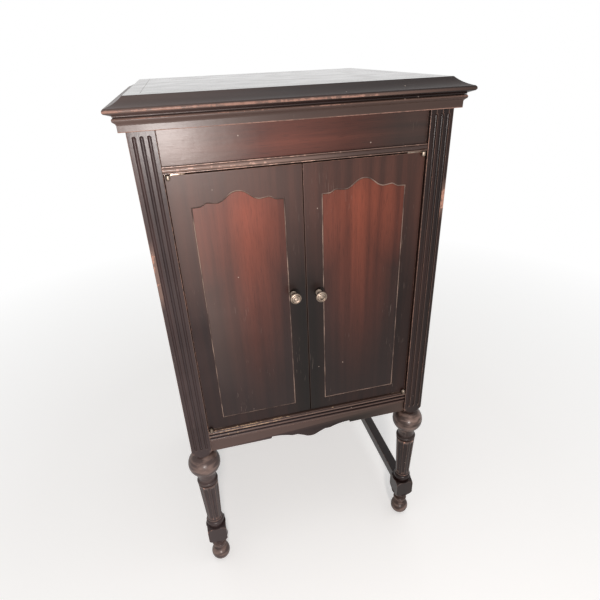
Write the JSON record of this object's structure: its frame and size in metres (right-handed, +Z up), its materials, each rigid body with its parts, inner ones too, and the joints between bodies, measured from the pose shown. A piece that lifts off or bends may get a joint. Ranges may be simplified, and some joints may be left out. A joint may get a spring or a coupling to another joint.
{
  "type": "gramophone cabinet",
  "caption": "Upright floor-standing gramophone cabinet on turned legs, with fluted corner posts, a pair of doors over a horn and record store, and a hinged lid over a turntable.",
  "frame": {"origin": "on the floor, midway between the four legs", "axes": "+Z up, front and doors towards -Y, winding crank on the +X side"},
  "size_m": [0.6746, 0.5698, 1.145],
  "materials": {
    "dark_lacquered_mahogany": "dark brown, nearly black gloss lacquer over mahogany, worn on its edges",
    "lacquered_mahogany_panel": "red-brown gloss lacquer, shaded to near black at the edges",
    "unfinished_wood": "plain sawn softwood and board, unpolished",
    "turned_handle_wood": "turned hardwood, dark gloss lacquer",
    "aged_brass": "old polished brass, dulled and pale",
    "nickel_plate": "nickel plate, slightly dulled",
    "turntable_metal": "machined iron with a nickelled rim",
    "gear_brass": "cut brass",
    "green_felt": "dark green baize",
    "black_casting": "black japanned casting",
    "foot_steel": "dull steel"
  },
  "bodies": {
    "case": {"leg_front_left": "dark_lacquered_mahogany", "leg_front_right": "dark_lacquered_mahogany", "leg_rear_left": "dark_lacquered_mahogany", "leg_rear_right": "dark_lacquered_mahogany", "glides": "foot_steel", "post_front_left": "dark_lacquered_mahogany", "post_front_right": "dark_lacquered_mahogany", "post_rear_left": "dark_lacquered_mahogany", "post_rear_right": "dark_lacquered_mahogany", "stretchers": "dark_lacquered_mahogany", "door_catches": "aged_brass", "side_panel_left": "lacquered_mahogany_panel", "side_panel_right": "lacquered_mahogany_panel", "back_panel": "unfinished_wood", "rear_top_rail": "dark_lacquered_mahogany", "frieze_panel": "lacquered_mahogany_panel", "frieze_moulding": "dark_lacquered_mahogany", "base_rail": "dark_lacquered_mahogany", "apron": "dark_lacquered_mahogany", "cornice": "dark_lacquered_mahogany", "bottom_board": "unfinished_wood", "horn_shelf": "unfinished_wood", "record_dividers": "unfinished_wood", "grille": "lacquered_mahogany_panel", "horn_top_board": "unfinished_wood", "horn_side_boards": "unfinished_wood", "horn_throat": "black_casting", "motor_board": "lacquered_mahogany_panel", "motor_board_cleats": "unfinished_wood", "case_pivots": "aged_brass", "case_hinge_leaves": "aged_brass", "stay_bracket": "aged_brass", "tone_arm_base": "nickel_plate", "needle_cups": "aged_brass", "escutcheon": "aged_brass", "motor_frame": "black_casting"},
    "left_door": {"door_left": "lacquered_mahogany_panel", "knob_left": "aged_brass", "door_pivots_left": "aged_brass"},
    "right_door": {"door_right": "lacquered_mahogany_panel", "knob_right": "aged_brass", "door_pivots_right": "aged_brass"},
    "lid": {"lid_panel": "lacquered_mahogany_panel", "lid_frame": "dark_lacquered_mahogany", "lid_hinge_leaves": "aged_brass"},
    "stay": {"lid_stay": "aged_brass"},
    "turntable": {"platter": "turntable_metal", "platter_felt": "green_felt", "spindle": "nickel_plate"},
    "arm": {"tone_arm": "nickel_plate"},
    "reproducer": {"sound_box": "nickel_plate", "needle": "nickel_plate"},
    "brake": {"brake_lever": "nickel_plate"},
    "speed_control": {"speed_dial": "nickel_plate"},
    "crank_and_shaft": {"winding_shaft": "nickel_plate", "crank": "nickel_plate"},
    "handle": {"crank_handle": "turned_handle_wood"},
    "spring_drum": {"spring_barrel": "turntable_metal"},
    "governor_spinner": {"governor": "nickel_plate"},
    "winding_arbor": {"winding_wheel": "gear_brass"}
  },
  "joints": [
    {"name": "left_door_hinge", "type": "hinge", "parent": "case", "child": "left_door", "pos_m": [-0.229, -0.262, 0.74], "axis": [0, 0, -1], "range_deg": [0, 115]},
    {"name": "right_door_hinge", "type": "hinge", "parent": "case", "child": "right_door", "pos_m": [0.229, -0.262, 0.74], "axis": [0, 0, 1], "range_deg": [0, 115]},
    {"name": "lid_hinge", "type": "hinge", "parent": "case", "child": "lid", "pos_m": [0, 0.2693, 1.1168], "axis": [-1, 0, 0], "range_deg": [0, 75]},
    {"name": "stay_pivot", "type": "hinge", "parent": "case", "child": "stay", "pos_m": [0.257, 0.163, 1.0996], "axis": [-1, 0, 0], "range_deg": [0, 105.5]},
    {"name": "turntable_spin", "type": "hinge", "parent": "case", "child": "turntable", "pos_m": [-0.015, -0.03, 1.038], "axis": [0, 0, -1], "continuous": true},
    {"name": "spring_drum_spin", "type": "hinge", "parent": "case", "child": "spring_drum", "pos_m": [0.0525, -0.03, 0.975], "axis": [0, 0, -1], "continuous": true},
    {"name": "governor_spin", "type": "hinge", "parent": "case", "child": "governor_spinner", "pos_m": [-0.04046, -0.05546, 0.971], "axis": [0, 0, -1], "continuous": true},
    {"name": "crank_turn", "type": "hinge", "parent": "case", "child": "crank_and_shaft", "pos_m": [0.294, 0.03, 0.936], "axis": [1, 0, 0], "continuous": true},
    {"name": "crank_handle_spin", "type": "hinge", "parent": "crank_and_shaft", "child": "handle", "pos_m": [0.304, 0.03, 0.831], "axis": [1, 0, 0], "continuous": true},
    {"name": "winding_arbor_turn", "type": "hinge", "parent": "case", "child": "winding_arbor", "pos_m": [0.0525, -0.03, 0.936], "axis": [0, 0, 1], "continuous": true},
    {"name": "tone_arm_swing", "type": "hinge", "parent": "case", "child": "arm", "pos_m": [0.14, 0.137, 1.0923], "axis": [0, 0, -1], "range_deg": [-5, 37]},
    {"name": "reproducer_turn", "type": "hinge", "parent": "arm", "child": "reproducer", "pos_m": [0.19443, -0.08132, 1.0923], "axis": [-0.2419, 0.9703, 0], "range_deg": [0, 120]},
    {"name": "brake_lever_turn", "type": "hinge", "parent": "case", "child": "brake", "pos_m": [-0.15701, -0.13897, 1.038], "axis": [0, 0, 1], "range_deg": [0, 25]},
    {"name": "speed_dial_turn", "type": "hinge", "parent": "case", "child": "speed_control", "pos_m": [0.088, -0.201, 1.038], "axis": [0, 0, 1], "range_deg": [-80, 80]}
  ],
  "couplings": [
    {"joint": "stay_pivot", "follows": "lid_hinge", "ratio": 1.4},
    {"joint": "spring_drum_spin", "follows": "turntable_spin", "ratio": -0.25},
    {"joint": "governor_spin", "follows": "turntable_spin", "ratio": -5},
    {"joint": "winding_arbor_turn", "follows": "crank_turn", "ratio": 0.2}
  ]
}
